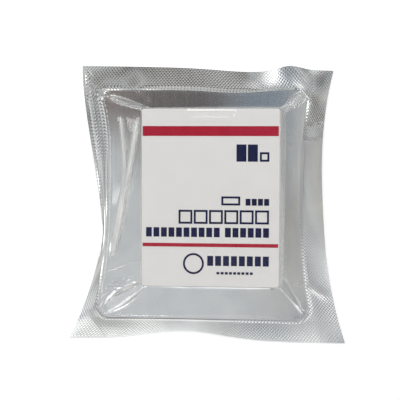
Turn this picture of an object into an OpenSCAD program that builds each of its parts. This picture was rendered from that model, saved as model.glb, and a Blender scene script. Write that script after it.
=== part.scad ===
// Sealed pack of microscope slides.
// A closed paperboard carton of glass slides lies on a flat sheet of foil laminate. A clear film is
// drawn down over the carton and sealed to the foil all round in a soft, wavy flange.
// Millimetres. The pack lies on its foil: +Z is up, through the carton's printed front, and +Y runs
// towards the carton's opening end. The origin is under the carton's centre, on the foil's underside.

/* [Slides] */
// Number of glass slides, standing side by side across the carton
slide_count = 50; // [20:1:50]
// Length of one slide
slide_l = 76.2; // [70:0.1:80]
// Width of one slide
slide_w = 25.4; // [24:0.1:28]
// Thickness of one slide
slide_t = 1.2; // [1:0.05:1.3]
// Free play of the row of slides across the carton
stack_play = 0.4; // [0.1:0.1:1.5]
// Free play of the slides along the carton
end_play = 1; // [0.2:0.1:3]
// Free play between the slides and the front of the carton
depth_play = 0.6; // [0.2:0.1:2]

/* [Carton] */
// Thickness of the paperboard
board_t = 0.4; // [0.3:0.05:0.6]
// Outer radius of the board's folds
fold_r = 0.5; // [0.45:0.05:1]
// Gap between two layers of board that lie on each other without glue
layer_gap = 0.1; // [0.05:0.05:0.3]
// Length of the flap that tucks in behind the front panel
tuck_l = 15; // [8:0.5:24]
// Length of the dust flaps at each end
dust_l = 20; // [10:0.5:22]
// Width of the glued seam flap
seam_w = 11; // [6:0.5:18]
// Width of the thumb notch along the front panel's edge
notch_w = 23.8; // [15:0.1:30]
// Depth of the thumb notch
notch_h = 4.9; // [2:0.1:6]
// How far each end of the thumb notch slopes in
notch_slope = 2.1; // [0.5:0.1:4]

/* [Print] */
// Thickness of the printed ink
ink_t = 0.05; // [0.03:0.01:0.1]
// Bare board left beside the printed bands
band_inset = 0.5; // [0.5:0.1:3]
// Height of the broad band near the opening end
broad_band_h = 4.4; // [2:0.1:6]
// Distance from the opening end to the broad band
broad_band_drop = 7.7; // [7:0.1:11]
// Height of the narrow band
narrow_band_h = 1.6; // [0.8:0.1:3]
// Distance from the lower end to the narrow band
narrow_band_rise = 17.6; // [16.5:0.1:20]
// Bare margin at the right of the printed blocks
print_margin = 4.6; // [3:0.1:8]
// Gap between the narrow band and the rows of print above and below it
row_gap = 2.8; // [1.5:0.1:4]
// Height of the row of small blocks
small_h = 4.2; // [3:0.1:5]
// Height of the row of open squares
square_h = 6.2; // [4:0.1:7]
// Height of the framed row
framed_h = 4; // [2.5:0.1:5]
// Height of the large blocks below the broad band
large_h = 7.6; // [5:0.1:9]
// Distance from the broad band to the large blocks
large_drop = 3.7; // [2:0.1:8]
// Diameter of the ring in the lowest row
ring_d = 9.4; // [6:0.1:10]
// Width of the lines that the squares, the frame and the ring are drawn with
line_w = 0.9; // [0.5:0.1:1.5]

/* [Film and foil] */
// Thickness of the clear film
film_t = 0.15; // [0.1:0.01:0.25]
// Thickness of the foil laminate
foil_t = 0.2; // [0.15:0.01:0.3]
// Gap between the film and the carton's side walls
film_gap = 0.4; // [0.3:0.05:0.8]
// How far the film leans out from the carton's walls before its foot
film_lean = 0.9; // [0.8:0.1:2.5]
// Height of the rounded foot where the film turns out from the carton
foot_h = 3; // [3:0.5:12]
// Width of that rounded foot
foot_w = 1.6; // [1.5:0.1:5]
// Height of the film over the foil inside the pocket
pocket_lift = 0.7; // [0.4:0.1:1.5]
// Height of the raised rim just inside the seal
rim_h = 1.4; // [0.8:0.1:2.5]
// Height at which each corner gusset meets the pocket's corner
gusset_end_h = 3; // [1.5:0.5:6]
// Height of the long fold down the pocket's left side, over the pocket's floor
side_fold_h = 2.8; // [0.5:0.1:4]

/* [Pocket] */
// Distance from the carton to the seal on the left
pocket_left = 27; // [20:0.5:30]
// Distance from the carton to the seal on the right
pocket_right = 13.6; // [12:0.1:20]
// Distance from the carton to the seal at the opening end
pocket_top = 9.9; // [9:0.1:16]
// Distance from the carton to the seal at the lower end
pocket_bottom = 18.6; // [14:0.1:24]
// Radius of the pocket's corners
pocket_r = 8; // [5:0.5:11]
// How far the pocket's left side draws in halfway along
pocket_left_draw = 6.5; // [0:0.1:8]
// How far the pocket's right side draws in halfway along
pocket_right_draw = 5; // [0:0.1:5.5]
// How far the pocket's sides spread apart towards the lower end
pocket_flare = 0.5; // [0:0.1:2.5]
// How far the pocket and the flange dip inwards at the opening end
top_dip = 1.4; // [0:0.1:2.5]

/* [Flange] */
// Width of the flange on the left, measured at its corners
flange_left = 8.5; // [7.7:0.1:14]
// Width of the flange on the right, measured at its corners
flange_right = 13.1; // [10:0.1:17]
// Width of the flange at the opening end
flange_top = 9.9; // [8:0.1:14]
// Width of the flange at the lower end
flange_bottom = 10.2; // [8:0.1:14]
// How much narrower the flange is halfway along on the left
left_narrowing = 6.7; // [2:0.1:7.2]
// How much narrower the flange is halfway along on the right
right_narrowing = 2.6; // [0:0.1:6]
// How far the arch draws the lower edge in
arch_draw = 4.3; // [0:0.1:5]
// How far the curl pushes the edge at the opening end out
curl_out = 2.2; // [0:0.1:3]
// How much higher the left end of that edge lies than its middle
top_slant = 1.4; // [0:0.1:2]
// How much further each corner flares out at the lower end than at the opening end
corner_flare = 3.2; // [0:0.1:4]
// Height of the arch in the lower edge
arch_h = 4.5; // [1:0.5:8]
// Height of the waves in the other edges
wave_h = 2.6; // [1:0.1:7]

/* [Hidden] */
slide_names = [for (i = [1:slide_count]) str("slide_", i < 10 ? "0" : "", i)];

// carton sizes, from what it holds
carton_w = slide_count * slide_t + stack_play + 3 * board_t;
carton_l = slide_l + end_play + 2 * (2 * board_t + layer_gap);
carton_h = slide_w + depth_play + 3 * board_t + layer_gap;
carton_z = foil_t;                            // the carton lies on the foil
front_z = carton_z + carton_h;                // outer face of the front panel
cap_z = front_z + ink_t;                      // the film lies on the print

// points round one ring of the film: along a short side, along a long side and round a corner
across_n = 16;
along_n = 22;
corner_n = 8;
ring_n = 2 * across_n + 2 * along_n + 4 * corner_n;

// --- outlines -------------------------------------------------------------------------------

// A rectangle [left, right, low, high] with rounded corners, as one ring of points. With square set,
// each corner's points lie on the corner's two straight edges instead of on its arc.
function ring(e, r, square = false) = [
    for (side = [0:3])
        let (turn = side * 90,
             n = side % 2 == 0 ? along_n : across_n,
             from = arc_centre(e, r, side + 3),
             to = arc_centre(e, r, side),
             out = [cos(turn), sin(turn)] * r)
        each concat(
            [for (i = [0:n - 1]) from + (to - from) * i / n + out],
            [for (j = [0:corner_n - 1]) to + corner_step(turn + 90 * j / corner_n, square) * r])
];

// Centre of a corner's arc; corner 0 is at the right of the high side, and they run anticlockwise.
function arc_centre(e, r, corner) =
    let (c = corner % 4)
    [c == 0 || c == 3 ? e[1] - r : e[0] + r, c < 2 ? e[3] - r : e[2] + r];

function corner_step(angle, square) =
    let (c = cos(angle), s = sin(angle))
    [c, s] / (square ? max(abs(c), abs(s)) : 1);

// How far a side draws in at place f, which runs from -1 to 1 along it. Of the curve's two values, the
// first moves its deepest place along the side and the second sets how full it is.
function draw(f, depth, curve) =
    let (share = max(0, min(1, (f + 1) / 2)))
    depth * (1 - pow(abs(2 * pow(share, curve[0]) - 1), curve[1]));

// A smooth bump of height 1, from its place along a side and its spread.
function bump(f, at) = exp(-pow((f - at[0]) / at[1], 2));

arch = [-0.17, 0.39];                         // the arch in the lower edge
dip = [0.33, 0.33];                           // the dip at the opening end
curl = [0.66, 0.12];                          // the curl beside it
swell = [-0.39, 0.39];                        // the low swell on the other side of the dip
left_curve = [1.4, 1.5];                      // curve of the web's left edge
pocket_curve = [0.76, 3];                     // curve of the pocket's left side
right_curve = [1, 2.5];                       // curve of both on the right

// Draws the sides of a ring in. Depths are [left, right, arch, curl, slant], and the flare spreads
// the corners towards the lower end.
function drawn_in(points, e, depths, left, flare) = [
    for (p = points)
        let (fx = (2 * p[0] - e[0] - e[1]) / (e[1] - e[0]),
             fy = (2 * p[1] - e[2] - e[3]) / (e[3] - e[2]),
             low = depths[2] * bump(fx, arch),
             high = top_dip * bump(fx, dip) - depths[3] * bump(fx, curl) + depths[4] * fx)
        p + [
            max(-fx, 0) * draw(-fy, depths[0], left) - max(fx, 0) * draw(-fy, depths[1], right_curve)
                - flare * fx * fy,
            max(-fy, 0) * low - max(fy, 0) * high]
];

pocket_edge = [-carton_w / 2 - pocket_left, carton_w / 2 + pocket_right,
               -carton_l / 2 - pocket_bottom, carton_l / 2 + pocket_top];
flange_edge = pocket_edge + [-flange_left, flange_right, -flange_bottom, flange_top];
flange_r = pocket_r + min(flange_left, flange_right, flange_top, flange_bottom);

pocket_ring = drawn_in(ring(pocket_edge, pocket_r), pocket_edge,
                       [pocket_left_draw, pocket_right_draw, 0, 0, 0], pocket_curve, pocket_flare);
flange_ring = drawn_in(ring(flange_edge, flange_r, true), flange_edge,
                       [pocket_left_draw + left_narrowing, pocket_right_draw + right_narrowing,
                        arch_draw, curl_out, top_slant], left_curve, corner_flare);

// The carton's outline, grown by a distance.
function carton_ring(off) =
    ring([-carton_w / 2 - off, carton_w / 2 + off, -carton_l / 2 - off, carton_l / 2 + off],
         max(off, 0) + carton_corner_r);
carton_corner_r = 0.25;                       // smallest radius of the film round an upright edge
plate_inset = 2;                              // how far inside the carton's outline the film's plate ends

// --- flange ---------------------------------------------------------------------------------

// Height of the flange's outer edge over the surface that the pack lies on.
function edge_height(p) =
    let (fx = 2 * (p[0] - flange_edge[0]) / (flange_edge[1] - flange_edge[0]) - 1,
         fy = 2 * (p[1] - flange_edge[2]) / (flange_edge[3] - flange_edge[2]) - 1,
         low = arch_h * bump(fx, arch) * max(0, -fy),
         high = wave_h * (top_rise + curl_rise * bump(fx, [curl[0], 2 * curl[1]]) + swell_rise * bump(fx, swell))
             * max(0, fy),
         side = wave_h * (side_rise + side_wave * sin(150 * fy + 40 * fx)) * pow(fx, 2))
    edge_lift + low + high * (1 - pow(fx, 4)) + side * (1 - pow(fy, 4));

edge_lift = 0.3;                              // the corners stay a little clear of the surface
// shares of wave_h, at the opening end and then down the sides
top_rise = 0.1;
curl_rise = 0.9;
swell_rise = 0.3;
side_rise = 0.45;
side_wave = 0.35;
flange_curve = 1.2;                           // above 1, the flange rises more towards its cut edge
flange_steps = [0, 0.25, 0.5, 0.75, 1];       // places of the rings across the flange

// One ring of the flange's underside at part g of the way across it.
function flange_points(g) = [
    for (i = [0:ring_n - 1])
        let (p = pocket_ring[i] + (flange_ring[i] - pocket_ring[i]) * g)
        [p[0], p[1], edge_height(flange_ring[i]) * pow(g, flange_curve)]
];

function raised(points, h) = [for (p = points) [p[0], p[1], p[2] + h]];

// --- film -----------------------------------------------------------------------------------

// Steps of the film's inner face beside the carton, as [distance out, height]: two flat rings on the
// front, then round the carton's edge and down its wall.
wall_top = cap_z - 1.2 * film_gap;
shoulder = [[-plate_inset, cap_z], [0, cap_z], [0.8 * film_gap, cap_z - 0.3 * film_gap], [film_gap, wall_top]];
flat_n = 2;                                   // rings that lie flat
wall_n = 4;
wall = [for (k = [1:wall_n]) let (f = k / wall_n)
    [film_gap + film_lean * pow(f, 1.6), wall_top + (carton_z + foot_h - wall_top) * f]];
floor_z = foil_t + pocket_lift;
foot_n = 4;
foot = [for (k = [1:foot_n]) let (a = 90 * k / foot_n)
    [foot_w * (1 - cos(a)), carton_z + foot_h - (carton_z + foot_h - floor_z) * sin(a)]];

// Steps across the pocket's floor, as [share of the way out from the foot, height].
rim = [[0.12, floor_z], [0.3, floor_z], [0.48, floor_z], [0.66, floor_z], [0.82, floor_z],
       [0.91, foil_t + rim_h], [1, foil_t]];

// Share of the gusset's full height at a point of the ring: 1 at the middle of a corner.
function gusset(i) =
    let (sides = [along_n, along_n + corner_n + across_n,
                  2 * along_n + 2 * corner_n + across_n,
                  2 * along_n + 3 * corner_n + 2 * across_n],
         away = min([for (s = sides) abs(i - s - corner_n / 2)]))
    max(0, 1 - away / 2);

function gusset_z(f) = wall_top + (foil_t + gusset_end_h - wall_top) * pow(f, 0.9);

start_ring = carton_ring(film_gap);

// One point of the film's inner face: the ring point i, moved out by d, at height z.
function skirt_point(i, d, z) =
    let (from = start_ring[i], way = pocket_ring[i] - from, reach = norm(way), f = d / reach,
         top = gusset_z(f), lift = gusset(i) * max(0, top - z) * (1 - pow(f, 6)))
    [from[0] + way[0] * f, from[1] + way[1] * f, z + lift];

function shoulder_points(step) = [for (p = carton_ring(step[0])) [p[0], p[1], step[1]]];
function wall_points(step) = [for (i = [0:ring_n - 1]) skirt_point(i, step[0] - film_gap, step[1])];
function foot_points(step) = [for (i = [0:ring_n - 1]) skirt_point(i, film_lean + step[0], step[1])];
function floor_points(step) = [
    for (i = [0:ring_n - 1])
        let (reach = norm(pocket_ring[i] - start_ring[i]), from = film_lean + foot_w)
        skirt_point(i, from + (reach - from) * step[0], step[1] + side_fold(i, step[0]))
];

// Height of the long fold at a point of the ring and a share of the way out. It starts beside the
// carton at the opening end and runs out to the pocket's far corner.
function side_fold(i, share) =
    let (f = (i - 2 * corner_n - along_n - across_n) / along_n)
    f > 0 && f < 1
        ? side_fold_h * pow(sin(180 * f), 0.6) * (1 - pow(share, 8))
            * bump(share, [fold_start + (fold_end - fold_start) * f, fold_spread])
        : 0;
fold_start = 0.22;                            // share of the way out at which the fold starts
fold_end = 0.84;                              // and at which it ends
fold_spread = 0.13;

skirt_rings = concat(
    [for (s = shoulder) shoulder_points(s)],
    [for (s = wall) wall_points(s)],
    [for (s = foot) foot_points(s)],
    [for (s = rim) floor_points(s)]);

film_inner = concat(
    skirt_rings,
    [for (k = [1:len(flange_steps) - 1]) raised(flange_points(flange_steps[k]), foil_t)]);

// The outward normal of the film at ring k, point i.
function film_normal(k, i) =
    let (next = (i + 1) % ring_n, last = (i + ring_n - 1) % ring_n,
         k0 = max(k - 1, 0), k1 = min(k + 1, len(film_inner) - 1),
         round = film_inner[k][next] - film_inner[k][last],
         down = film_inner[k1][i] - film_inner[k0][i],
         n = cross(down, round))
    n / norm(n);

film_outer = [
    for (k = [0:len(film_inner) - 1]) [
        for (i = [0:ring_n - 1])
            film_inner[k][i] + film_t * (k < flat_n || k >= len(skirt_rings) - 1 ? [0, 0, 1] : film_normal(k, i))]
];

// A thin closed sheet between two stacks of rings. The first two rings lie flat, and a flat plate that
// ends halfway between them fills the middle.
module sheet(over, under) {
    low_z = under[0][0][2];
    middle = (under[0] + under[1]) / 2;
    translate([0, 0, low_z])
        linear_extrude(over[0][0][2] - low_z) polygon([for (p = middle) [p[0], p[1]]]);
    rings = len(over);
    n = len(under[0]);
    side = rings * n;
    last = side - n;
    polyhedron(
        points = concat([for (r = over) each r], [for (r = under) each r]),
        faces = concat(
            [for (k = [0:rings - 2], i = [0:n - 1])
                let (a = k * n + i, b = k * n + (i + 1) % n, c = a + n, d = b + n)
                each [[a, b, d], [a, d, c], [side + a, side + d, side + b], [side + a, side + c, side + d]]],
            [for (i = [0:n - 1])
                let (next = (i + 1) % n, a = last + i, b = last + next)
                each [[a, b, side + b], [a, side + b, side + a],
                      [next, i, side + next], [i, side + i, side + next]]]),
        convexity = 8);
}

module clear_film() {
    color([0.9, 0.93, 0.95, 0.35]) sheet(film_outer, film_inner);
}

module foil_back() {
    flat = [for (p = carton_ring(0)) [p[0], p[1], 0]];
    under = concat([flat], [for (g = flange_steps) flange_points(g)]);
    color([0.72, 0.75, 0.77]) sheet([for (r = under) raised(r, foil_t)], under);
}

// --- carton ---------------------------------------------------------------------------------

// A board panel between two corner points.
module panel(low, high) {
    translate(low) cube(high - low);
}

// One thickness of board, lying flat with its underside at height z.
module flat_board(z) {
    translate([0, 0, z]) linear_extrude(board_t) children();
}

// A rectangle centred on X that stands on the X axis, with rounded corners.
module rounded(w, h, r) {
    translate([-w / 2 + r, 0]) square([w - 2 * r, h]);
    translate([-w / 2, r]) square([w, h - 2 * r]);
    for (x = [-1, 1], y = [r, h - r]) translate([x * (w / 2 - r), y]) circle(r, $fn = 48);
}

// The four walls of a folded tube of board, w by h outside and l long, along Y.
module tube(w, h, l) {
    translate([0, l / 2, carton_z]) rotate([90, 0, 0]) linear_extrude(l) difference() {
        rounded(w, h, fold_r);
        translate([0, board_t]) rounded(w - 2 * board_t, h - 2 * board_t, fold_r - board_t);
    }
}

// The folded end at the high Y end: lid panel, tuck flap and two dust flaps.
module end_closure() {
    half_w = carton_w / 2;
    lid_y = carton_l / 2 - board_t;
    dust_y = lid_y - layer_gap - board_t;
    tuck_z = front_z - 2 * board_t - layer_gap;
    tuck_half = half_w - board_t - layer_gap;
    panel([-half_w + fold_r, lid_y, carton_z], [half_w - fold_r, carton_l / 2, tuck_z + board_t]);
    flat_board(tuck_z) polygon([
        [-tuck_half, carton_l / 2 - board_t], [-half_w + fold_r, carton_l / 2],
        [half_w - fold_r, carton_l / 2], [tuck_half, carton_l / 2 - board_t],
        [tuck_half, carton_l / 2 - tuck_l / 2], [tuck_half - tuck_l / 2, carton_l / 2 - tuck_l],
        [-tuck_half + tuck_l / 2, carton_l / 2 - tuck_l], [-tuck_half, carton_l / 2 - tuck_l / 2]]);
    for (side = [0, 1]) mirror([side, 0, 0])
        panel([half_w - dust_l, dust_y, carton_z + board_t + layer_gap],
              [half_w - board_t / 2, dust_y + board_t, tuck_z - layer_gap]);
}

module carton() {
    half_w = carton_w / 2;
    half_l = carton_l / 2;
    side_l = half_l - board_t - layer_gap;
    color([0.93, 0.92, 0.91]) {
        // the folded tube, with its thumb notch cut out of the front panel
        difference() {
            tube(carton_w, carton_h, 2 * side_l);
            translate([0, 0, front_z - board_t - layer_gap / 2]) linear_extrude(2 * board_t) notch_outline();
        }
        // the back panel and the front panel reach over the closed ends
        for (end = [0, 1]) mirror([0, end, 0]) {
            panel([-half_w + fold_r, side_l, carton_z], [half_w - fold_r, half_l, carton_z + board_t]);
            difference() {
                panel([-half_w + fold_r, side_l, front_z - board_t], [half_w - fold_r, half_l, front_z]);
                if (end == 0)
                    translate([0, 0, front_z - 2 * board_t]) linear_extrude(3 * board_t) notch_outline();
            }
        }
        // seam flap, glued inside the left panel
        panel([-half_w + board_t, -side_l + dust_l, carton_z + fold_r],
              [-half_w + 2 * board_t, side_l - dust_l, carton_z + seam_w]);
        end_closure();
        mirror([0, 1, 0]) end_closure();
    }
}

// Plan outline of the thumb notch.
module notch_outline() {
    half_l = carton_l / 2;
    notch = notch_w / 2;
    polygon([
        [-notch, half_l + board_t], [-notch, half_l], [-notch + notch_slope, half_l - notch_h],
        [notch - notch_slope, half_l - notch_h], [notch, half_l], [notch, half_l + board_t]]);
}

// --- print ----------------------------------------------------------------------------------

// A flat field of ink on the front panel, from a corner and a size.
module ink(x, y, w, h) {
    translate([x, y, front_z]) cube([w, h, ink_t]);
}

module red_bands() {
    x = -carton_w / 2 + band_inset;
    color([0.66, 0.14, 0.24]) {
        ink(x, carton_l / 2 - broad_band_drop - broad_band_h, carton_w - 2 * band_inset, broad_band_h);
        ink(x, -carton_l / 2 + narrow_band_rise, carton_w - 2 * band_inset, narrow_band_h);
    }
}

// A row of plain blocks, the last of which ends at x.
module block_row(x, y, count, w, h, gap) {
    for (i = [0:count - 1]) ink(x - (i + 1) * w - i * gap, y, w, h);
}

// An open frame of ink, whose right edge is at x.
module frame(x, y, w, h) {
    translate([x - w, y, front_z]) linear_extrude(ink_t) difference() {
        square([w, h]);
        translate([line_w, line_w]) square([w - 2 * line_w, h - 2 * line_w]);
    }
}

module navy_blocks() {
    right = carton_w / 2 - print_margin;
    band_low = -carton_l / 2 + narrow_band_rise;
    small_y = band_low + narrow_band_h + row_gap;
    square_y = small_y + small_h + 0.6 * row_gap;
    framed_y = square_y + square_h + 0.75 * row_gap;
    large_y = carton_l / 2 - broad_band_drop - broad_band_h - large_drop - large_h;
    ring_y = band_low - row_gap - ring_d / 2;
    small_w = 0.62 * small_h;
    square_pitch = 1.1 * square_h;
    large_w = 0.58 * large_h;
    name_h = 0.47 * ring_d;
    color([0.1, 0.11, 0.3]) {
        // two large blocks and an open square
        frame(right, large_y, small_h, small_h);
        block_row(right - small_h - line_w, large_y, 2, large_w, large_h, 0.7 * line_w);
        // four small blocks beside a frame
        block_row(right, framed_y, 4, 0.55 * framed_h, 0.75 * framed_h, 0.6 * line_w);
        frame(right - 3.2 * framed_h, framed_y, 2.1 * framed_h, framed_h);
        // six open squares
        for (i = [0:5]) frame(right - i * square_pitch, square_y, square_h, square_h);
        // sixteen small blocks with a space after the sixth
        block_row(right, small_y, 6, small_w, small_h, 0.3 * small_w);
        block_row(right - 8.4 * small_w, small_y, 10, small_w, small_h, 0.3 * small_w);
        // a ring, a row of blocks and a row of dashes
        translate([right - 7.6 * name_h, ring_y, front_z]) linear_extrude(ink_t) difference() {
            circle(ring_d / 2, $fn = 96);
            circle(ring_d / 2 - line_w, $fn = 96);
        }
        block_row(right, ring_y - 0.2 * name_h, 8, 0.6 * name_h, name_h, 0.2 * name_h);
        block_row(right - 1.6 * name_h, ring_y - ring_d / 2, 9, 0.3 * name_h, 0.25 * name_h, 0.12 * name_h);
    }
}

// --- slides ---------------------------------------------------------------------------------

// One slide, standing on its long edge on the back panel, in its place in the row.
module slide(i) {
    x = -carton_w / 2 + 2 * board_t + stack_play / 2 + i * slide_t;
    color([0.75, 0.88, 0.86, 0.4])
        translate([x, -slide_l / 2, carton_z + board_t]) cube([slide_t, slide_l, slide_w]);
}

foil_back();
clear_film();
carton();
red_bands();
navy_blocks();
for (i = [0:slide_count - 1])
    slide(i);
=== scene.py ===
"""A sealed pack of microscope slides, dressed round its solids.

The carton, its print and the slides are the solids themselves with finishes of their own. The foil
backing and the clear film are modelled here again in fine detail, with the seal's knurling, the
pocket's gussets and the folds that the vacuum drew into the film. Lengths in the shape functions are
millimetres, and each mesh is brought to metres at the end.
"""

import math

import bmesh
import bpy
from mathutils import Matrix, Vector, noise


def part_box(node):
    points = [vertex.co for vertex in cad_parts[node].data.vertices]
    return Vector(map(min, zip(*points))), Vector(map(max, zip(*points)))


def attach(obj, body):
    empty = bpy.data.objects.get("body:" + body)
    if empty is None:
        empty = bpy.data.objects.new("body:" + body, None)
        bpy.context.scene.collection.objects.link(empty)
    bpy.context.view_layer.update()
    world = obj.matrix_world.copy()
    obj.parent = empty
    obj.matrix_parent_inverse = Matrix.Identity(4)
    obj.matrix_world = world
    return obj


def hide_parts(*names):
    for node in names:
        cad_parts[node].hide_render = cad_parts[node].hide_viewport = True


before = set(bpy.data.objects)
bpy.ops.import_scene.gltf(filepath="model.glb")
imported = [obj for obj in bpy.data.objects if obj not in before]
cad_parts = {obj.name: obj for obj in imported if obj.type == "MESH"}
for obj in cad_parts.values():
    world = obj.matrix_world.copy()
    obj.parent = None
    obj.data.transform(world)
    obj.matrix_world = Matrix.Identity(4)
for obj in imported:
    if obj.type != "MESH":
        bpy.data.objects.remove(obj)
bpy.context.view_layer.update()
MM = 0.001

# ---------------------------------------------------------------- sizes, in millimetres

carton_low, carton_high = (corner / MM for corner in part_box("carton"))
print_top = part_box("red_bands")[1].z / MM
CARTON_X = carton_high.x
CARTON_Y = carton_high.y
FOIL_T = carton_low.z
CAP_Z = print_top

FILM_T = 0.15
FILM_GAP = 0.4
FILM_LEAN = 0.9
FOOT_H = 3.0
FOOT_W = 1.6
LOW_FOOT_W = 3.2
SHOULDER_R = 0.5
RIM_W = 2.4
RIPPLE = 0.12
POCKET_LIFT = 0.3
RIM_H = 0.4
CORNER_R = 0.25
NOTCH_Y = CARTON_Y - 4.9
NOTCH_RAMP = 1.0
NOTCH_SINK = 0.45
CAP_X = CARTON_X - 0.9
CAP_Y = CARTON_Y - 0.9
POCKET_R = 8.0

# [left, right, low, high] edges of the pocket and of the whole web, before their sides draw in
POCKET = (-CARTON_X - 27.0, CARTON_X + 13.6, -CARTON_Y - 18.6, CARTON_Y + 9.9)
WEB = (POCKET[0] - 8.5, POCKET[1] + 13.1, POCKET[2] - 10.2, POCKET[3] + 9.9)
# how far each outline's left and right sides, arch, curl and slant move it
POCKET_DRAWS = (6.5, 5.0, 0.0, 0.0, 0.0)
WEB_DRAWS = (13.2, 7.6, 4.3, 2.2, 1.4)
POCKET_CURVE = (0.76, 3.0)
WEB_CURVE = (1.4, 1.5)
RIGHT_CURVE = (1.0, 2.5)
POCKET_FLARE = 0.5
CORNER_FLARE = 3.2
TOP_DIP = 1.4
# places along a side, from -1 to 1, and spreads
ARCH = (-0.17, 0.39)
DIP = (0.33, 0.33)
CURL = (0.66, 0.12)
SWELL = (-0.39, 0.39)
WAVE_H = 2.6
EDGE_LIFT = 0.15
FLANGE_CURVE = 1.0

# how strongly the painted highlight along the long folds' crests whitens the film, from 0 to 1
FOLD_HIGHLIGHT_PAINT = 0.7
WORLD_LEVEL = 0.58
FLOOR_LIFT = 0.28
FLOOR_HALF = 3.0
FLOOR_DROP = 0.0003
ROOM_SIZE = (4.0, 4.0, 1.0)

KNURL_PITCH = 0.78
KNURL_H = 0.07

ACROSS_N = 84
ALONG_N = 112
CORNER_N = 36
WALL_STEPS = 9
FOOT_STEPS = 7
FLOOR_STEPS = 28
RIM_STEPS = 9
SHOULDER_STEPS = 5
CAP_COLUMNS = 66
CAP_ROWS = 100
# gap left between the foil and the film that is sealed to it
SEAL_GAP = 0.03
# least height of the loose film over the foil
FILM_CLEAR = 0.05
# step over which a distance's slope is measured
SLOPE_STEP = 0.01


# ---------------------------------------------------------------- shape functions


def mix(a, b, f):
    return a + (b - a) * f


def smooth(low, high, value):
    f = min(max((value - low) / (high - low), 0.0), 1.0)
    return f * f * (3 - 2 * f)


def bump(f, place, spread):
    return math.exp(-(((f - place) / spread) ** 2))


def draw_in(f, depth, curve):
    """How far a side draws in at place f, which runs from -1 to 1 along it."""
    share = min(max((f + 1) / 2, 0.0), 1.0)
    return depth * (1 - abs(2 * share ** curve[0] - 1) ** curve[1])


def drawn(a, b, edge, draws, curve, flare):
    """The plan place of (a, b) once the sides of an outline draw in."""
    fx = (2 * a - edge[0] - edge[1]) / (edge[1] - edge[0])
    fy = (2 * b - edge[2] - edge[3]) / (edge[3] - edge[2])
    left = max(-fx, 0) * draw_in(-fy, draws[0], curve)
    right = max(fx, 0) * draw_in(-fy, draws[1], RIGHT_CURVE)
    low = max(-fy, 0) * draws[2] * bump(fx, *ARCH)
    high = max(fy, 0) * (TOP_DIP * bump(fx, *DIP) - draws[3] * bump(fx, *CURL) + draws[4] * fx)
    return a + left - right - flare * fx * fy, b + low - high


def pocket_distance(a, b):
    """Distance of (a, b) outside the pocket's rounded outline; it is negative inside."""
    qx = abs(a - (POCKET[0] + POCKET[1]) / 2) - (POCKET[1] - POCKET[0]) / 2 + POCKET_R
    qy = abs(b - (POCKET[2] + POCKET[3]) / 2) - (POCKET[3] - POCKET[2]) / 2 + POCKET_R
    return math.hypot(max(qx, 0), max(qy, 0)) + min(max(qx, qy), 0) - POCKET_R


def across_flange(a, b):
    """0 at the pocket and inside it, 1 at the web's cut edge."""
    out = max(pocket_distance(a, b), 0)
    left_x = max(min(a - WEB[0], WEB[1] - a), 1e-6)
    left_y = max(min(b - WEB[2], WEB[3] - b), 1e-6)
    left = (left_x**-5 + left_y**-5) ** -0.2
    return out / (out + left) if out > 0 else 0.0


def edge_height(a, b):
    """Height of the cut edge over the table, at the place of (a, b) along it."""
    fx = 2 * (a - WEB[0]) / (WEB[1] - WEB[0]) - 1
    fy = 2 * (b - WEB[2]) / (WEB[3] - WEB[2]) - 1
    curl = 1.05 * bump(fx, CURL[0], 2 * CURL[1])
    high = WAVE_H * (0.03 + curl + 0.06 * bump(fx, *SWELL)) * max(0, fy)
    side = WAVE_H * (0.45 + 0.35 * math.sin(math.radians(150 * fy + 40 * fx))) * fx * fx
    return EDGE_LIFT + high * (1 - fx**4) + side * (1 - fy**4)


# creases across the flange: each a line of plan places, its height and its half width
FLANGE_FOLDS = [
    ([(-60.5, -56.0), (-57.5, -61.0), (-52.3, -67.5)], 0.05, 0.6),
    ([(41.5, -41.5), (45.5, -43.3), (50.5, -46.5)], 0.1, 1.5),
    ([(38.0, 27.0), (43.7, 25.5), (50.5, 26.0)], 0.12, 0.6),
    ([(42.5, 32.6), (49.5, 33.6)], 0.06, 0.5),
]

# ridge of the foil below the carton's low edge, in the same terms
FOIL_FOLDS = [
    ([(-30.0, -42.0), (-22.0, -42.3), (-12.0, -42.9), (0.0, -42.7), (26.0, -42.6)], 0.13, 0.8),
]


def fold_height(folds, x, y):
    """Height of the highest crease at (x, y)."""
    total = 0.0
    for points, height, width in folds:
        best = 1e9
        for (x0, y0), (x1, y1) in zip(points, points[1:]):
            dx, dy = x1 - x0, y1 - y0
            t = ((x - x0) * dx + (y - y0) * dy) / (dx * dx + dy * dy)
            t = min(max(t, 0), 1)
            best = min(best, math.hypot(x - x0 - t * dx, y - y0 - t * dy))
        if best < 3 * width:
            total = max(total, height * math.exp(-abs(best / width) ** 1.5))
    return total


def flutes(a, b, g):
    """Two shallow flutes that run down the flange on the left, side by side."""
    beside = smooth(-1.5, 1.5, (WEB[3] - b) - (a - WEB[0])) * smooth(0, 2, POCKET[0] - a)
    return 0.24 * beside * smooth(-40, 10, b) * (bump(g, 0.78, 0.09) + 0.6 * bump(g, 0.3, 0.08))


def web_place(a, b):
    """Place of the foil's underside for the point (a, b) of the flat web."""
    g = across_flange(a, b)
    inner = drawn(a, b, POCKET, POCKET_DRAWS, POCKET_CURVE, POCKET_FLARE)
    outer = drawn(a, b, WEB, WEB_DRAWS, WEB_CURVE, CORNER_FLARE)
    x, y = mix(inner[0], outer[0], g), mix(inner[1], outer[1], g)
    relief = fold_height(FOIL_FOLDS, x, y)
    if g > 0:
        relief = (fold_height(FLANGE_FOLDS, x, y) + flutes(a, b, g)) * smooth(0, 0.15, g)
    return x, y, edge_height(a, b) * g**FLANGE_CURVE + relief


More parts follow.
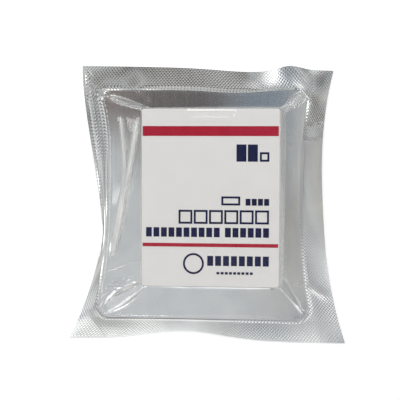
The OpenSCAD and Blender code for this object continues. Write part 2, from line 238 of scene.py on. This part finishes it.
def knurl(i, j, a, b, g):
    """Height of the seal's diamond embossing at grid point (i, j), near (a, b) of the flat web: peaks
    and pits take turns. It is deepest at the opening end and on the left, and by the pocket's rim."""
    if (i + j) % 2 == 0:
        return 0.0
    depth = mix(0.45, 1.1, max(smooth(20, 45, b), smooth(-20, -35, a) * smooth(-80, -20, b)))
    depth *= 1 - 0.25 * smooth(44, 50, a)
    worn = max(0.8 * smooth(16, 26, a) * smooth(34, 30, a - 14), 0.6 * bump(a, -40, 5))
    depth *= 1 - worn * smooth(44, 50, b)
    first_row = 1 + 1.2 * bump(g, 0.08, 0.05)
    return KNURL_H * depth * smooth(0.0, 0.05, g) * first_row


# ---------------------------------------------------------------- mesh helpers


def new_piece(name, bm, material):
    """Brings a bmesh to metres and makes it an object."""
    bmesh.ops.scale(bm, vec=(MM, MM, MM), verts=bm.verts)
    mesh = bpy.data.meshes.new(name)
    bm.to_mesh(mesh)
    bm.free()
    obj = bpy.data.objects.new(name, mesh)
    bpy.context.scene.collection.objects.link(obj)
    mesh.materials.append(material)
    return obj


def web_grid(bm):
    """The flat web as a grid at half the knurl's pitch, in (a, b). Returns each vertex's grid place."""
    nx = round((WEB[1] - WEB[0]) / KNURL_PITCH)
    ny = round((WEB[3] - WEB[2]) / KNURL_PITCH)
    bmesh.ops.create_grid(bm, x_segments=nx, y_segments=ny, size=0.5)
    places = {}
    for vert in bm.verts:
        fx, fy = vert.co.x + 0.5, vert.co.y + 0.5
        places[vert] = (round(fx * nx), round(fy * ny))
        vert.co = (mix(WEB[0], WEB[1], fx), mix(WEB[2], WEB[3], fy), 0)
    return places


def facet_knurl(bm, places):
    """Splits each knurled cell from peak to peak, and leaves its facets flat."""
    peaks = [v for v, (i, j) in places.items() if (i + j) % 2]
    bmesh.ops.connect_verts(bm, verts=peaks, check_degenerate=False)
    for face in bm.faces:
        face.smooth = True
    for vert in places:
        for face in vert.link_faces:
            face.smooth = all(across_flange(*v.co.xy) <= 0 for v in face.verts)
    for edge in bm.edges:
        edge.smooth = len({face.smooth for face in edge.link_faces}) == 1


def give_thickness(bm, depth):
    """Turns a sheet into a wall: a second skin lies at the given depth along the normals, and a strip
    closes the cut edge."""
    bm.normal_update()
    skin = bm.faces[:]
    verts = bm.verts[:]
    twin = bmesh.ops.duplicate(bm, geom=verts + bm.edges[:] + skin)
    for vert in verts:
        copy = twin["vert_map"][vert]
        copy.co = vert.co + vert.normal * depth
        copy.co.z = max(copy.co.z, 0)
    made = [g for g in twin["geom"] if isinstance(g, bmesh.types.BMFace)]
    bmesh.ops.reverse_faces(bm, faces=skin if depth > 0 else made)
    bmesh.ops.bridge_loops(bm, edges=[e for e in bm.edges if e.is_boundary])


# ---------------------------------------------------------------- foil


def make_foil(material):
    bm = bmesh.new()
    places = web_grid(bm)
    facet_knurl(bm, places)
    for vert, (i, j) in places.items():
        a, b = vert.co.x, vert.co.y
        g = across_flange(a, b)
        x, y, z = web_place(a, b)
        vert.co = (x, y, z + knurl(i, j, a, b, g) + FOIL_T)
    give_thickness(bm, -FOIL_T)
    return new_piece("foil_web", bm, material)


# ---------------------------------------------------------------- film


def ring(edge, r):
    """Points round a rectangle with rounded corners, anticlockwise from the right side's low end."""
    centres = [(edge[1] - r, edge[3] - r), (edge[0] + r, edge[3] - r)]
    centres += [(edge[0] + r, edge[2] + r), (edge[1] - r, edge[2] + r)]
    points = []
    for side in range(4):
        turn = side * math.pi / 2
        n = ALONG_N if side % 2 == 0 else ACROSS_N
        start, end = Vector(centres[side - 1]), Vector(centres[side])
        out = Vector((math.cos(turn), math.sin(turn))) * r
        points += [start.lerp(end, i / n) + out for i in range(n)]
        for j in range(CORNER_N):
            angle = turn + math.pi / 2 * j / CORNER_N
            points.append(end + Vector((math.cos(angle), math.sin(angle))) * r)
    return points


def carton_ring(off):
    edge = (-CARTON_X - off, CARTON_X + off, -CARTON_Y - off, CARTON_Y + off)
    return ring(edge, max(off, 0) + CORNER_R)


START_RING = carton_ring(FILM_GAP)
POCKET_RING = [
    Vector(drawn(p.x, p.y, POCKET, POCKET_DRAWS, POCKET_CURVE, POCKET_FLARE))
    for p in ring(POCKET, POCKET_R)
]
WALL_TOP = CAP_Z - SHOULDER_R

# the gussets, anticlockwise from the right one at the opening end: half width and crest at their far
# end, how far the film falls away beside them, and the height of that end
GUSSET_FORMS = [
    (1.5, 0.7, 0.12, 2.2),
    (0.35, 0.3, 0.08, 1.2),
    (1.8, 0.5, 0.2, 2.6),
    (0.3, 0.3, 0.08, 1.2),
]
GUSSETS = []
for corner, form in enumerate(GUSSET_FORMS):
    sides = ALONG_N + (corner + 1) // 2 * ACROSS_N + corner // 2 * ALONG_N
    middle = sides + CORNER_N // 2 + corner * CORNER_N
    GUSSETS.append((START_RING[middle], POCKET_RING[middle], *form))


def gusset_lift(x, y, z):
    """Height of the film at (x, y) where a corner gusset stands over the height z."""
    for tip, end, half_w, crest_h, spread, end_h in GUSSETS:
        way = end - tip
        length = way.length
        along = (Vector((x, y)) - tip).dot(way) / length
        f = along / length
        if f < -0.02 or f > 1.05:
            continue
        side = abs(way.x * (y - tip.y) - way.y * (x - tip.x)) / length
        half = mix(0.25, half_w, smooth(0, 0.6, f))
        fall = 0.8 + spread * max(along, 0)
        beside = max(0.0, 1 - max(0, side - half) / fall)
        if beside <= 0:
            continue
        f = min(max(f, 0), 1)
        top = WALL_TOP + (FOIL_T + end_h - WALL_TOP) * f**0.9
        crest = crest_h * bump(side, half, 0.45) * min(1, along / 3 if along > 0 else 0)
        lift = beside**2.2 * max(0, top - z) * (1 - f**6)
        z += lift + crest * (1 - f**4)
    return z


# small creases in the film: each a line of plan places, its height and its half width
FOLDS = [
    ([(32.2, 36.8), (33.7, 27.3), (34.2, 22.3)], 1.3, 0.5),
    ([(33.0, 37.4), (38.3, 27.3)], 1.2, 0.6),
    ([(32.4, -43.6), (35.5, -41.2), (39.0, -40.6), (42.5, -41.2)], 1.1, 0.55),
    ([(-40.2, -38.3), (-46.8, -41.7), (-53.3, -46.0)], 1.8, 0.8),
    ([(-45.9, -35.4), (-43.6, -35.8), (-39.8, -38.1)], 1.2, 0.6),
    ([(-31.9, 44.5), (-33.0, 46.8), (-36.5, 48.3)], 0.8, 0.6),
]

# the two long folds down the left, as (y, x of the inner crest, x of the outer crest)
LONG_FOLDS = [
    (40.0, -35.6, -45.3), (25.0, -38.4, -43.6), (12.0, -40.6, -42.8), (5.0, -42.0, -43.1),
    (-15.4, -45.6, -46.7), (-25.7, -48.0, -49.0), (-33.0, -49.9, -50.8),
]
INNER_H = 2.2
OUTER_H = 1.2
FACE_SLOPE = 0.46
# half widths of the painted highlight along the inner and the outer crest
FOLD_HIGHLIGHT_WIDTHS = (1.0, 0.8)
# floor rings that follow the inner crest, the valley beside it, the outer crest and its foot
FOLD_RINGS = (9, 14, 18, 22)


def fold_crests(y):
    """Places along X of the two long folds' crests at y, or None past their ends."""
    for (y0, *first), (y1, *second) in zip(LONG_FOLDS, LONG_FOLDS[1:]):
        if y1 <= y <= y0:
            f = (y0 - y) / (y0 - y1)
            return [mix(p, q, f) for p, q in zip(first, second)]
    return None


def painted_fold_highlight(x, y):
    """How strongly the painted highlight whitens the film at (x, y), from 0 to 1, along the crests of
    its long folds: it stands in for their reflection.
    """
    crests = fold_crests(y)
    if crests is None:
        return 0.0
    ends = smooth(-32, -24, y) * smooth(39, 33, y)
    inner, outer = (bump(x, crest, width) for crest, width in zip(crests, FOLD_HIGHLIGHT_WIDTHS))
    uneven = 0.75 + 0.5 * noise.noise(Vector((x * 0.5, y * 0.06, 4.0)))
    return min(max(ends * uneven * max(inner, 0.8 * outer), 0), 1)


def floor_steps(i, start, end, inner, outer):
    """The film's floor at ring point i, as (distance out, height over the floor). On the left its rings
    run along the two long folds."""
    plain = [(mix(inner, outer, k / FLOOR_STEPS), 0.0) for k in range(1, FLOOR_STEPS + 1)]
    f = (i - 2 * CORNER_N - ALONG_N - ACROSS_N) / ALONG_N
    way = (end - start).normalized()
    crests = fold_crests(start.y + way.y * 0.5 * (inner + outer)) if 0 < f < 1 else None
    if not crests:
        return plain
    weight = smooth(0.0, 0.08, f) * (1 - smooth(0.88, 1.0, f))
    a, c = ((x - start.x) / way.x for x in crests)
    b = a + 0.7 * (c - a)
    valley_h = max(0.15, INNER_H - FACE_SLOPE * (b - a))
    outer_h = max(OUTER_H, valley_h + 0.1)
    foot = min(c + 1.8, mix(c, outer, 0.6))
    foot_h = max(0.1, outer_h - FACE_SLOPE * (foot - c))
    stops = [(0, inner, 0.0), (FOLD_RINGS[0], a, INNER_H), (FOLD_RINGS[1], b, valley_h)]
    stops += [(FOLD_RINGS[2], c, outer_h), (FOLD_RINGS[3], foot, foot_h), (FLOOR_STEPS, outer, 0.0)]
    steps = []
    for k in range(1, FLOOR_STEPS + 1):
        for (k0, d0, h0), (k1, d1, h1) in zip(stops, stops[1:]):
            if k0 < k <= k1:
                t = (k - k0) / (k1 - k0)
                h = mix(h0, h1, t)
                if k1 == FOLD_RINGS[0]:
                    h = h1 * t**1.6
                steps.append((mix(plain[k - 1][0], mix(d0, d1, t), weight), h * weight))
    return steps


def film_profile(i, start, end):
    """The film's section beside the carton, as (distance out, height, looseness) down to the seal."""
    reach = (end - start).length
    floor = FOIL_T + POCKET_LIFT
    foot_w = mix(FOOT_W, LOW_FOOT_W, smooth(0.2, 0.9, (start.y - end.y) / reach))
    steps = []
    for k in range(1, WALL_STEPS + 1):
        f = k / WALL_STEPS
        steps.append((FILM_LEAN * f**1.6, mix(WALL_TOP, FOIL_T + FOOT_H, f), 0.3 * f))
    for k in range(1, FOOT_STEPS + 1):
        angle = math.pi / 2 * k / FOOT_STEPS
        z = FOIL_T + FOOT_H - (FOOT_H - POCKET_LIFT) * math.sin(angle)
        steps.append((FILM_LEAN + foot_w * (1 - math.cos(angle)), z, 0.3 + 0.7 * k / FOOT_STEPS))
    inner, outer = FILM_LEAN + foot_w, reach - RIM_W
    for d, h in floor_steps(i, start, end, inner, outer):
        steps.append((d, floor + h, 1.0))
    for k in range(1, RIM_STEPS + 1):
        f = k / RIM_STEPS
        crown = (RIM_H - POCKET_LIFT) * bump(f, 0.4, 0.25)
        z = FOIL_T + (POCKET_LIFT + crown) * (1 - smooth(0.0, 1.05, f))
        steps.append((outer + (RIM_W - 0.1) * f, z, 1 - f))
    return steps


def film_rings():
    """The film's inner face beside the carton, ring by ring outwards."""
    rings = []
    for step in range(SHOULDER_STEPS + 1):
        angle = math.pi / 2 * step / SHOULDER_STEPS
        off = FILM_GAP - SHOULDER_R * (1 - math.sin(angle))
        z = CAP_Z - SHOULDER_R * (1 - math.cos(angle))
        rings.append([Vector((p.x, p.y, z)) for p in carton_ring(off)])
    sections = []
    for i, (start, end) in enumerate(zip(START_RING, POCKET_RING)):
        reach = (end - start).length
        section = []
        for d, z, loose in film_profile(i, start, end):
            p = start.lerp(end, d / reach)
            z = gusset_lift(p.x, p.y, z)
            z += fold_height(FOLDS, p.x, p.y) * loose
            z += noise.noise(Vector((p.x * 0.16, p.y * 0.1, 3.1))) * RIPPLE * loose
            section.append(Vector((p.x, p.y, max(z, FOIL_T + FILM_CLEAR))))
        sections.append(section)
    return rings + [list(points) for points in zip(*sections)]


def cap_height(x, y):
    """Height of the film over the carton's front: it sinks into the thumb notch."""
    deep = min(max((y - NOTCH_Y) / NOTCH_RAMP, 0), 1)
    inside = deep * (1 - smooth(-1.2, 0.2, abs(x) - 10.0 - 0.43 * (y - NOTCH_Y)))
    streak = 0.05 * bump(y + 0.07 * x, 7.6, 1.2) * bump(x, -12, 14)
    fold = 0.34 * bump(y, NOTCH_Y + 1.7, 0.5) * (1 - smooth(8.0, 9.8, abs(x + 0.4)))
    uneven = 0.03 * (noise.noise(Vector((x * 0.15, y * 0.15, 1.0))) + 1)
    return CAP_Z - NOTCH_SINK * inside + streak + fold + uneven


def cap_row(f):
    """Place along Y of the cap's grid row at share f: the rows crowd together at the notch's edge."""
    stops = [(0.0, -CAP_Y), (0.7, NOTCH_Y - 0.6), (0.95, NOTCH_Y + 2.8), (1.0, CAP_Y)]
    for (f0, y0), (f1, y1) in zip(stops, stops[1:]):
        if f <= f1:
            return mix(y0, y1, (f - f0) / (f1 - f0))
    return CAP_Y


def make_film(material):
    bm = bmesh.new()
    places = web_grid(bm)
    hole = [f for f in bm.faces if pocket_distance(*f.calc_center_median().xy) < 0.2]
    bmesh.ops.delete(bm, geom=hole, context="FACES")
    places = {v: p for v, p in places.items() if v.is_valid}
    rim_edges = []
    for edge in bm.edges:
        if edge.is_boundary and max(abs(pocket_distance(*v.co.xy)) for v in edge.verts) < 2:
            rim_edges.append(edge)
    facet_knurl(bm, places)
    rim_verts = {v for e in rim_edges for v in e.verts}
    for vert in rim_verts:
        a, b = vert.co.x, vert.co.y
        d = pocket_distance(a, b)
        rise = (pocket_distance(a + SLOPE_STEP, b) - d, pocket_distance(a, b + SLOPE_STEP) - d)
        slope = Vector(rise) / SLOPE_STEP
        if slope.length:
            vert.co.x -= d * slope.x
            vert.co.y -= d * slope.y
    for vert, (i, j) in places.items():
        a, b = vert.co.x, vert.co.y
        x, y, z = web_place(a, b)
        vert.co = (x, y, z + knurl(i, j, a, b, across_flange(a, b)) + FOIL_T + SEAL_GAP)

    rings = film_rings()
    n = len(rings[0])
    loop = bmesh.ops.create_circle(bm, segments=n, radius=1)["verts"]
    for vert, place in zip(loop, rings[0]):
        vert.co = place
    cap_edges = [e for v in loop for e in v.link_edges]
    cap_edges = list(dict.fromkeys(cap_edges))
    edges = cap_edges
    order = loop
    for places_now in rings[1:]:
        made = bmesh.ops.extrude_edge_only(bm, edges=edges)["geom"]
        fresh = [g for g in made if isinstance(g, bmesh.types.BMVert)]
        edges = [g for g in made if isinstance(g, bmesh.types.BMEdge) and g.is_boundary]
        below = {vert: k for k, vert in enumerate(order)}
        order = [None] * n
        for vert in fresh:
            partner = next(e.other_vert(vert) for e in vert.link_edges if e.other_vert(vert) in below)
            order[below[partner]] = vert
        for vert, place in zip(order, places_now):
            vert.co = place
    bmesh.ops.bridge_loops(bm, edges=edges + rim_edges)

    grid = bmesh.ops.create_grid(bm, x_segments=CAP_COLUMNS, y_segments=CAP_ROWS, size=0.5)["verts"]
    for vert in grid:
        x = vert.co.x * 2 * CAP_X
        y = cap_row(vert.co.y + 0.5)
        vert.co = (x, y, cap_height(x, y))
    grid_edges = [e for v in grid for e in v.link_edges if e.is_boundary]
    grid_edges = list(dict.fromkeys(grid_edges))
    bmesh.ops.bridge_loops(bm, edges=grid_edges + cap_edges)
    bmesh.ops.recalc_face_normals(bm, faces=bm.faces)
    top = max(bm.faces, key=lambda f: f.calc_center_median().z)
    if top.normal.z < 0:
        bmesh.ops.reverse_faces(bm, faces=bm.faces)
    # painted highlight along the long folds' crests, kept on the vertices for the film's material
    fold_highlight_paint = bm.verts.layers.float.new("fold_highlight_paint")
    for vert in bm.verts:
        if vert.co.z > 1.0:
            vert[fold_highlight_paint] = painted_fold_highlight(vert.co.x, vert.co.y)
    give_thickness(bm, FILM_T)
    return new_piece("film_web", bm, material)


# ---------------------------------------------------------------- materials


def node_material(name):
    material = bpy.data.materials.new(name)
    material.use_nodes = True
    tree = material.node_tree
    return material, tree, tree.nodes["Principled BSDF"], tree.nodes["Material Output"]


def add(tree, kind, **inputs):
    node = tree.nodes.new(kind)
    for key, value in inputs.items():
        node.inputs[key.replace("_", " ")].default_value = value
    return node


def math_node(tree, operation, source, *values):
    node = add(tree, "ShaderNodeMath")
    node.operation = operation
    tree.links.new(source, node.inputs[0])
    for k, value in enumerate(values):
        node.inputs[k + 1].default_value = value
    return node.outputs[0]


def smooth_step(tree, source, low, high):
    node = add(tree, "ShaderNodeMapRange")
    node.interpolation_type = "SMOOTHSTEP"
    node.inputs["From Min"].default_value = low
    node.inputs["From Max"].default_value = high
    tree.links.new(source, node.inputs["Value"])
    return node.outputs["Result"]


def multiply(tree, a, b):
    node = add(tree, "ShaderNodeMath")
    node.operation = "MULTIPLY"
    tree.links.new(a, node.inputs[0])
    tree.links.new(b, node.inputs[1])
    return node.outputs[0]


def mix_colour(tree, factor, a, b):
    node = tree.nodes.new("ShaderNodeMix")
    node.data_type = "RGBA"
    tree.links.new(factor, node.inputs["Factor"])
    for value, socket in ((a, node.inputs[6]), (b, node.inputs[7])):
        if isinstance(value, tuple):
            socket.default_value = (*value, 1)
        else:
            tree.links.new(value, socket)
    return node.outputs[2]


def grain(tree, scale, detail=3.0, stretch=(1.0, 1.0, 1.0)):
    """A noise of about so many grains a metre, from 0 to 1."""
    place = add(tree, "ShaderNodeTexCoord")
    turn = add(tree, "ShaderNodeMapping", Scale=stretch)
    texture = add(tree, "ShaderNodeTexNoise", Scale=scale, Detail=detail)
    tree.links.new(place.outputs["Object"], turn.inputs["Vector"])
    tree.links.new(turn.outputs["Vector"], texture.inputs["Vector"])
    return texture.outputs[0]


def spread(tree, source, low, high):
    """Maps a noise, whose values crowd about the middle, onto a range."""
    node = add(tree, "ShaderNodeMapRange", From_Min=0.3, From_Max=0.7, To_Min=low, To_Max=high)
    tree.links.new(source, node.inputs["Value"])
    return node.outputs["Result"]


def relief(tree, source, depth, strength):
    """Surface relief from a noise, with its depth in metres."""
    node = add(tree, "ShaderNodeBump", Strength=strength, Distance=depth)
    tree.links.new(source, node.inputs["Height"])
    return node.outputs["Normal"]


def foil_material():
    """Rolled foil: faint rolling lines, slight clouding and a soft mirror."""
    material, tree, shader, _ = node_material("foil_laminate")
    shader.inputs["Metallic"].default_value = 1.0
    cloud = grain(tree, 70, 2)
    rolling = grain(tree, 900, 3, (1.0, 0.05, 1.0))
    tone = mix_colour(tree, spread(tree, cloud, 0, 1), (0.76, 0.765, 0.77), (0.82, 0.82, 0.815))
    tree.links.new(tone, shader.inputs["Base Color"])
    tree.links.new(spread(tree, rolling, 0.09, 0.13), shader.inputs["Roughness"])
    tree.links.new(relief(tree, rolling, 0.00002, 0.06), shader.inputs["Normal"])
    return material


def film_material():
    """Clear film: see-through face on, mirror-like edge on, with a slight milky haze and a painted
    highlight along the crests of its long folds.
    """
    material, tree, shader, output = node_material("clear_film")
    tree.nodes.remove(shader)
    clear = add(tree, "ShaderNodeBsdfTransparent", Color=(0.985, 0.99, 0.99, 1))
    gloss = add(tree, "ShaderNodeBsdfGlossy", Color=(1, 1, 1, 1))
    haze_and_painted_white = add(tree, "ShaderNodeBsdfDiffuse", Color=(0.92, 0.92, 0.9, 1))
    draw_lines = grain(tree, 260, 2, (1.0, 0.4, 1.0))
    tree.links.new(spread(tree, draw_lines, 0.05, 0.1), gloss.inputs["Roughness"])
    tree.links.new(relief(tree, draw_lines, 0.00015, 0.12), gloss.inputs["Normal"])
    facing = add(tree, "ShaderNodeLayerWeight", Blend=0.5)
    steep = math_node(tree, "POWER", facing.outputs["Facing"], 2.6)
    share = math_node(tree, "MULTIPLY_ADD", steep, 0.5, 0.015)
    milk = math_node(tree, "MULTIPLY_ADD", steep, 0.06, 0.002)
    # painted highlight: the film turns white along the long folds' crests, standing in for their
    # reflection
    highlight_attribute = tree.nodes.new("ShaderNodeAttribute")
    highlight_attribute.attribute_name = "fold_highlight_paint"
    veil = multiply(tree, milk, spread(tree, grain(tree, 120), 0.6, 1.4))
    haze_and_highlight_share = math_node(tree, "MULTIPLY_ADD", highlight_attribute.outputs["Fac"], FOLD_HIGHLIGHT_PAINT)
    tree.links.new(veil, haze_and_highlight_share.node.inputs[2])
    hazed_and_highlighted = add(tree, "ShaderNodeMixShader")
    tree.links.new(haze_and_highlight_share, hazed_and_highlighted.inputs[0])
    tree.links.new(clear.outputs[0], hazed_and_highlighted.inputs[1])
    tree.links.new(haze_and_painted_white.outputs[0], hazed_and_highlighted.inputs[2])
    blend = add(tree, "ShaderNodeMixShader")
    tree.links.new(share, blend.inputs[0])
    tree.links.new(hazed_and_highlighted.outputs[0], blend.inputs[1])
    tree.links.new(gloss.outputs[0], blend.inputs[2])
    tree.links.new(blend.outputs[0], output.inputs["Surface"])
    return material


def paper_material(name, tone, other_tone, sheen):
    """Coated board, or ink printed on it: fine fibres below a smooth coat."""
    material, tree, shader, _ = node_material(name)
    fibres = grain(tree, 3500, 4, (1.0, 0.5, 1.0))
    cloud = grain(tree, 160, 3)
    both = add(tree, "ShaderNodeMath")
    both.operation = "ADD"
    tree.links.new(spread(tree, fibres, 0.0, 0.5), both.inputs[0])
    tree.links.new(spread(tree, cloud, 0.0, 0.5), both.inputs[1])
    tree.links.new(mix_colour(tree, both.outputs[0], tone, other_tone), shader.inputs["Base Color"])
    tree.links.new(spread(tree, fibres, 0.42, 0.6), shader.inputs["Roughness"])
    shader.inputs["Specular IOR Level"].default_value = sheen
    tree.links.new(relief(tree, fibres, 0.00002, 0.3), shader.inputs["Normal"])
    return material


def glass_material():
    """Soda-lime glass with ground edges, clear and faintly green."""
    material, tree, shader, _ = node_material("slide_glass")
    shader.inputs["Transmission Weight"].default_value = 1.0
    shader.inputs["IOR"].default_value = 1.52
    cloud = spread(tree, grain(tree, 90, 2), 0, 1)
    tone = mix_colour(tree, cloud, (0.9, 0.97, 0.95), (0.93, 0.98, 0.965))
    tree.links.new(tone, shader.inputs["Base Color"])
    tree.links.new(spread(tree, grain(tree, 1800), 0.0, 0.04), shader.inputs["Roughness"])
    return material


def dress(node, material):
    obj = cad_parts[node]
    obj.data.materials.clear()
    obj.data.materials.append(material)


foil = make_foil(foil_material())
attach(foil, "root")
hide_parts("foil_back")
film = make_film(film_material())
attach(film, "root")
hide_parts("clear_film")

dress("carton", paper_material("carton_board", (0.79, 0.755, 0.73), (0.83, 0.8, 0.775), 0.3))
dress("red_bands", paper_material("red_ink", (0.4, 0.006, 0.028), (0.46, 0.012, 0.04), 0.1))
dress("navy_blocks", paper_material("navy_ink", (0.003, 0.004, 0.042), (0.005, 0.007, 0.06), 0.1))
glass = glass_material()
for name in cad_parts:
    if name.startswith("slide_"):
        dress(name, glass)

# ---------------------------------------------------------------- stage, light and camera


def make_floor():
    bm = bmesh.new()
    bmesh.ops.create_grid(bm, x_segments=1, y_segments=1, size=FLOOR_HALF)
    bmesh.ops.translate(bm, verts=bm.verts, vec=(0, 0, -FLOOR_DROP))
    mesh = bpy.data.meshes.new("floor")
    bm.to_mesh(mesh)
    bm.free()
    floor = bpy.data.objects.new("floor", mesh)
    bpy.context.scene.collection.objects.link(floor)
    material, tree, shader, output = node_material("floor_paper")
    shader.inputs["Base Color"].default_value = (0.85, 0.85, 0.85, 1)
    shader.inputs["Roughness"].default_value = 0.9
    glow = add(tree, "ShaderNodeEmission", Color=(1, 1, 1, 1))
    lift = add(tree, "ShaderNodeMath")
    lift.operation = "MULTIPLY"
    lift.inputs[1].default_value = FLOOR_LIFT
    tree.links.new(seen_ray(tree), lift.inputs[0])
    tree.links.new(lift.outputs[0], glow.inputs["Strength"])
    total = add(tree, "ShaderNodeAddShader")
    tree.links.new(shader.outputs[0], total.inputs[0])
    tree.links.new(glow.outputs[0], total.inputs[1])
    tree.links.new(total.outputs[0], output.inputs["Surface"])
    floor.data.materials.append(material)
    return floor


def area_lamp(name, place, target, size, glow, color=(1, 1, 1)):
    """A softbox of the given size (across, up) and brightness."""
    data = bpy.data.lights.new(name, "AREA")
    data.shape = "RECTANGLE"
    data.size, data.size_y = size
    data.energy = glow * math.pi * size[0] * size[1]
    data.color = color
    lamp = bpy.data.objects.new(name, data)
    lamp.location = place
    lamp.rotation_euler = (Vector(target) - Vector(place)).to_track_quat("-Z", "Y").to_euler()
    bpy.context.scene.collection.objects.link(lamp)
    return lamp


def make_world():
    world = bpy.data.worlds.new("studio")
    bpy.context.scene.world = world
    world.use_nodes = True
    tree = world.node_tree
    back = tree.nodes["Background"]
    white = add(tree, "ShaderNodeBackground", Color=(1, 1, 1, 1), Strength=1.0)
    back.inputs["Color"].default_value = (0.97, 0.98, 1.0, 1)
    back.inputs["Strength"].default_value = WORLD_LEVEL
    blend = add(tree, "ShaderNodeMixShader")
    tree.links.new(seen_ray(tree), blend.inputs[0])
    tree.links.new(back.outputs[0], blend.inputs[1])
    tree.links.new(white.outputs[0], blend.inputs[2])
    tree.links.new(blend.outputs[0], tree.nodes["World Output"].inputs["Surface"])


def seen_ray(tree):
    """1 where a ray comes from the camera, a mirror or a window, and 0 for light on the object."""
    path = add(tree, "ShaderNodeLightPath")
    both = add(tree, "ShaderNodeMath")
    both.operation = "ADD"
    tree.links.new(path.outputs["Is Camera Ray"], both.inputs[0])
    tree.links.new(path.outputs["Is Glossy Ray"], both.inputs[1])
    total = add(tree, "ShaderNodeMath")
    total.operation = "ADD"
    total.use_clamp = True
    tree.links.new(both.outputs[0], total.inputs[0])
    tree.links.new(path.outputs["Is Transmission Ray"], total.inputs[1])
    return total.outputs[0]


# soft-edged patches of the room's ceiling, each [left, right, low, high], softness and colour
CEILING_PATCHES = [
    ((-1.45, -0.95, -0.5, 0.9), 0.2, (7.0, 6.9, 6.6)),
    ((-0.8, 0.8, -1.5, -1.15), 0.12, (9.0, 9.0, 9.0)),
    ((-0.6, 0.5, 1.15, 1.5), 0.12, (11.0, 11.0, 11.0)),
    ((-0.9, 0.9, 0.42, 1.6), 0.05, (0.85, 0.85, 0.84)),
    ((-0.34, -0.01, -0.9, -0.31), 0.03, (1.9, 1.9, 1.86)),
    ((0.015, 0.1, -0.9, -0.2), 0.02, (0.12, 0.16, 0.24)),
    ((0.12, 0.42, -0.35, 0.6), 0.03, (0.45, 0.45, 0.45)),
    ((0.1, 0.16, -0.3, -0.03), 0.02, (0.95, 0.95, 0.95)),
    ((0.29, 0.36, -0.6, 0.6), 0.02, (0.3, 0.31, 0.33)),
    ((0.43, 0.7, -0.6, 0.6), 0.03, (0.95, 0.96, 0.97)),
    ((-0.172, 0.012, -0.1, 0.06), 0.01, (0.3, 0.3, 0.3)),
    ((-0.3, -0.17, 0.05, 0.15), 0.02, (0.24, 0.2, 0.19)),
    ((-0.46, 0.13, 0.2, 0.36), 0.03, (0.1, 0.09, 0.09)),
    ((-0.2, -0.065, 0.0, 0.15), 0.02, (0.14, 0.125, 0.125)),
    ((-0.065, 0.02, 0.0, 0.15), 0.02, (0.2, 0.25, 0.31)),
    ((0.015, 0.1, -0.03, 0.09), 0.015, (0.74, 0.72, 0.69)),
    ((-0.005, 0.03, -0.15, -0.05), 0.015, (0.4, 0.385, 0.37)),
]


def make_room():
    """The room round the table, which only the shiny surfaces see: dark overhead, pale in front."""
    bm = bmesh.new()
    bmesh.ops.create_cube(bm, size=1.0)
    bmesh.ops.scale(bm, vec=ROOM_SIZE, verts=bm.verts)
    bmesh.ops.translate(bm, verts=bm.verts, vec=(0, 0, ROOM_SIZE[2] / 2))
    under = [f for f in bm.faces if f.calc_center_median().z < 0.1]
    bmesh.ops.delete(bm, geom=under, context="FACES_ONLY")
    bmesh.ops.reverse_faces(bm, faces=bm.faces)
    mesh = bpy.data.meshes.new("room")
    bm.to_mesh(mesh)
    bm.free()
    room = bpy.data.objects.new("room", mesh)
    bpy.context.scene.collection.objects.link(room)
    room.visible_camera = False
    room.visible_diffuse = False
    room.visible_shadow = False
    material, tree, shader, output = node_material("room_walls")
    tree.nodes.remove(shader)
    place = add(tree, "ShaderNodeTexCoord")
    split = add(tree, "ShaderNodeSeparateXYZ")
    tree.links.new(place.outputs["Object"], split.inputs[0])
    x, y, z = (split.outputs[axis] for axis in "XYZ")
    beside = smooth_step(tree, x, -0.32, -0.24)
    ceiling = mix_colour(tree, beside, (0.58, 0.56, 0.54), (0.66, 0.675, 0.69))
    ceiling = mix_colour(tree, smooth_step(tree, x, -0.1, 0.06), ceiling, (0.57, 0.555, 0.54))
    for (left, right, low, high), soft, colour in CEILING_PATCHES:
        across = multiply(
            tree,
            smooth_step(tree, x, left - soft, left + soft),
            smooth_step(tree, x, right + soft, right - soft),
        )
        along = multiply(
            tree,
            smooth_step(tree, y, low - soft, low + soft),
            smooth_step(tree, y, high + soft, high - soft),
        )
        ceiling = mix_colour(tree, multiply(tree, across, along), ceiling, colour)
    walls = mix_colour(tree, smooth_step(tree, x, -1.5, 1.0), (0.7, 0.7, 0.69), (0.45, 0.44, 0.42))
    colour = mix_colour(tree, smooth_step(tree, z, 0.97, 0.99), walls, ceiling)
    glow = add(tree, "ShaderNodeEmission")
    tree.links.new(colour, glow.inputs["Color"])
    tree.links.new(glow.outputs[0], output.inputs["Surface"])
    room.data.materials.append(material)


def make_camera():
    data = bpy.data.cameras.new("camera")
    data.lens = 101.34
    data.sensor_width = 36.0
    data.clip_start = 0.01
    data.clip_end = 20.0
    camera = bpy.data.objects.new("camera", data)
    bpy.context.scene.collection.objects.link(camera)
    camera.location = (0.0479, 0.0210, 0.5248)
    forward = (Vector((-0.0045, -0.0010, 0.0276)) - camera.location).normalized()
    right = forward.cross(Vector((0, 1, 0))).normalized()
    turn = Matrix((right, right.cross(forward), -forward)).transposed().to_4x4()
    camera.matrix_world = Matrix.Translation(camera.location) @ turn @ Matrix.Rotation(0.0031, 4, "Z")
    bpy.context.scene.camera = camera


make_floor()
make_world()
make_room()
make_camera()
# the shiny surfaces see the room, and the key lights all else
area_lamp("key", (0.0, 0.55, 0.85), (0, 0, 0), (0.4, 0.3), 11.2).visible_glossy = False

scene = bpy.context.scene
scene.view_settings.view_transform = "Standard"
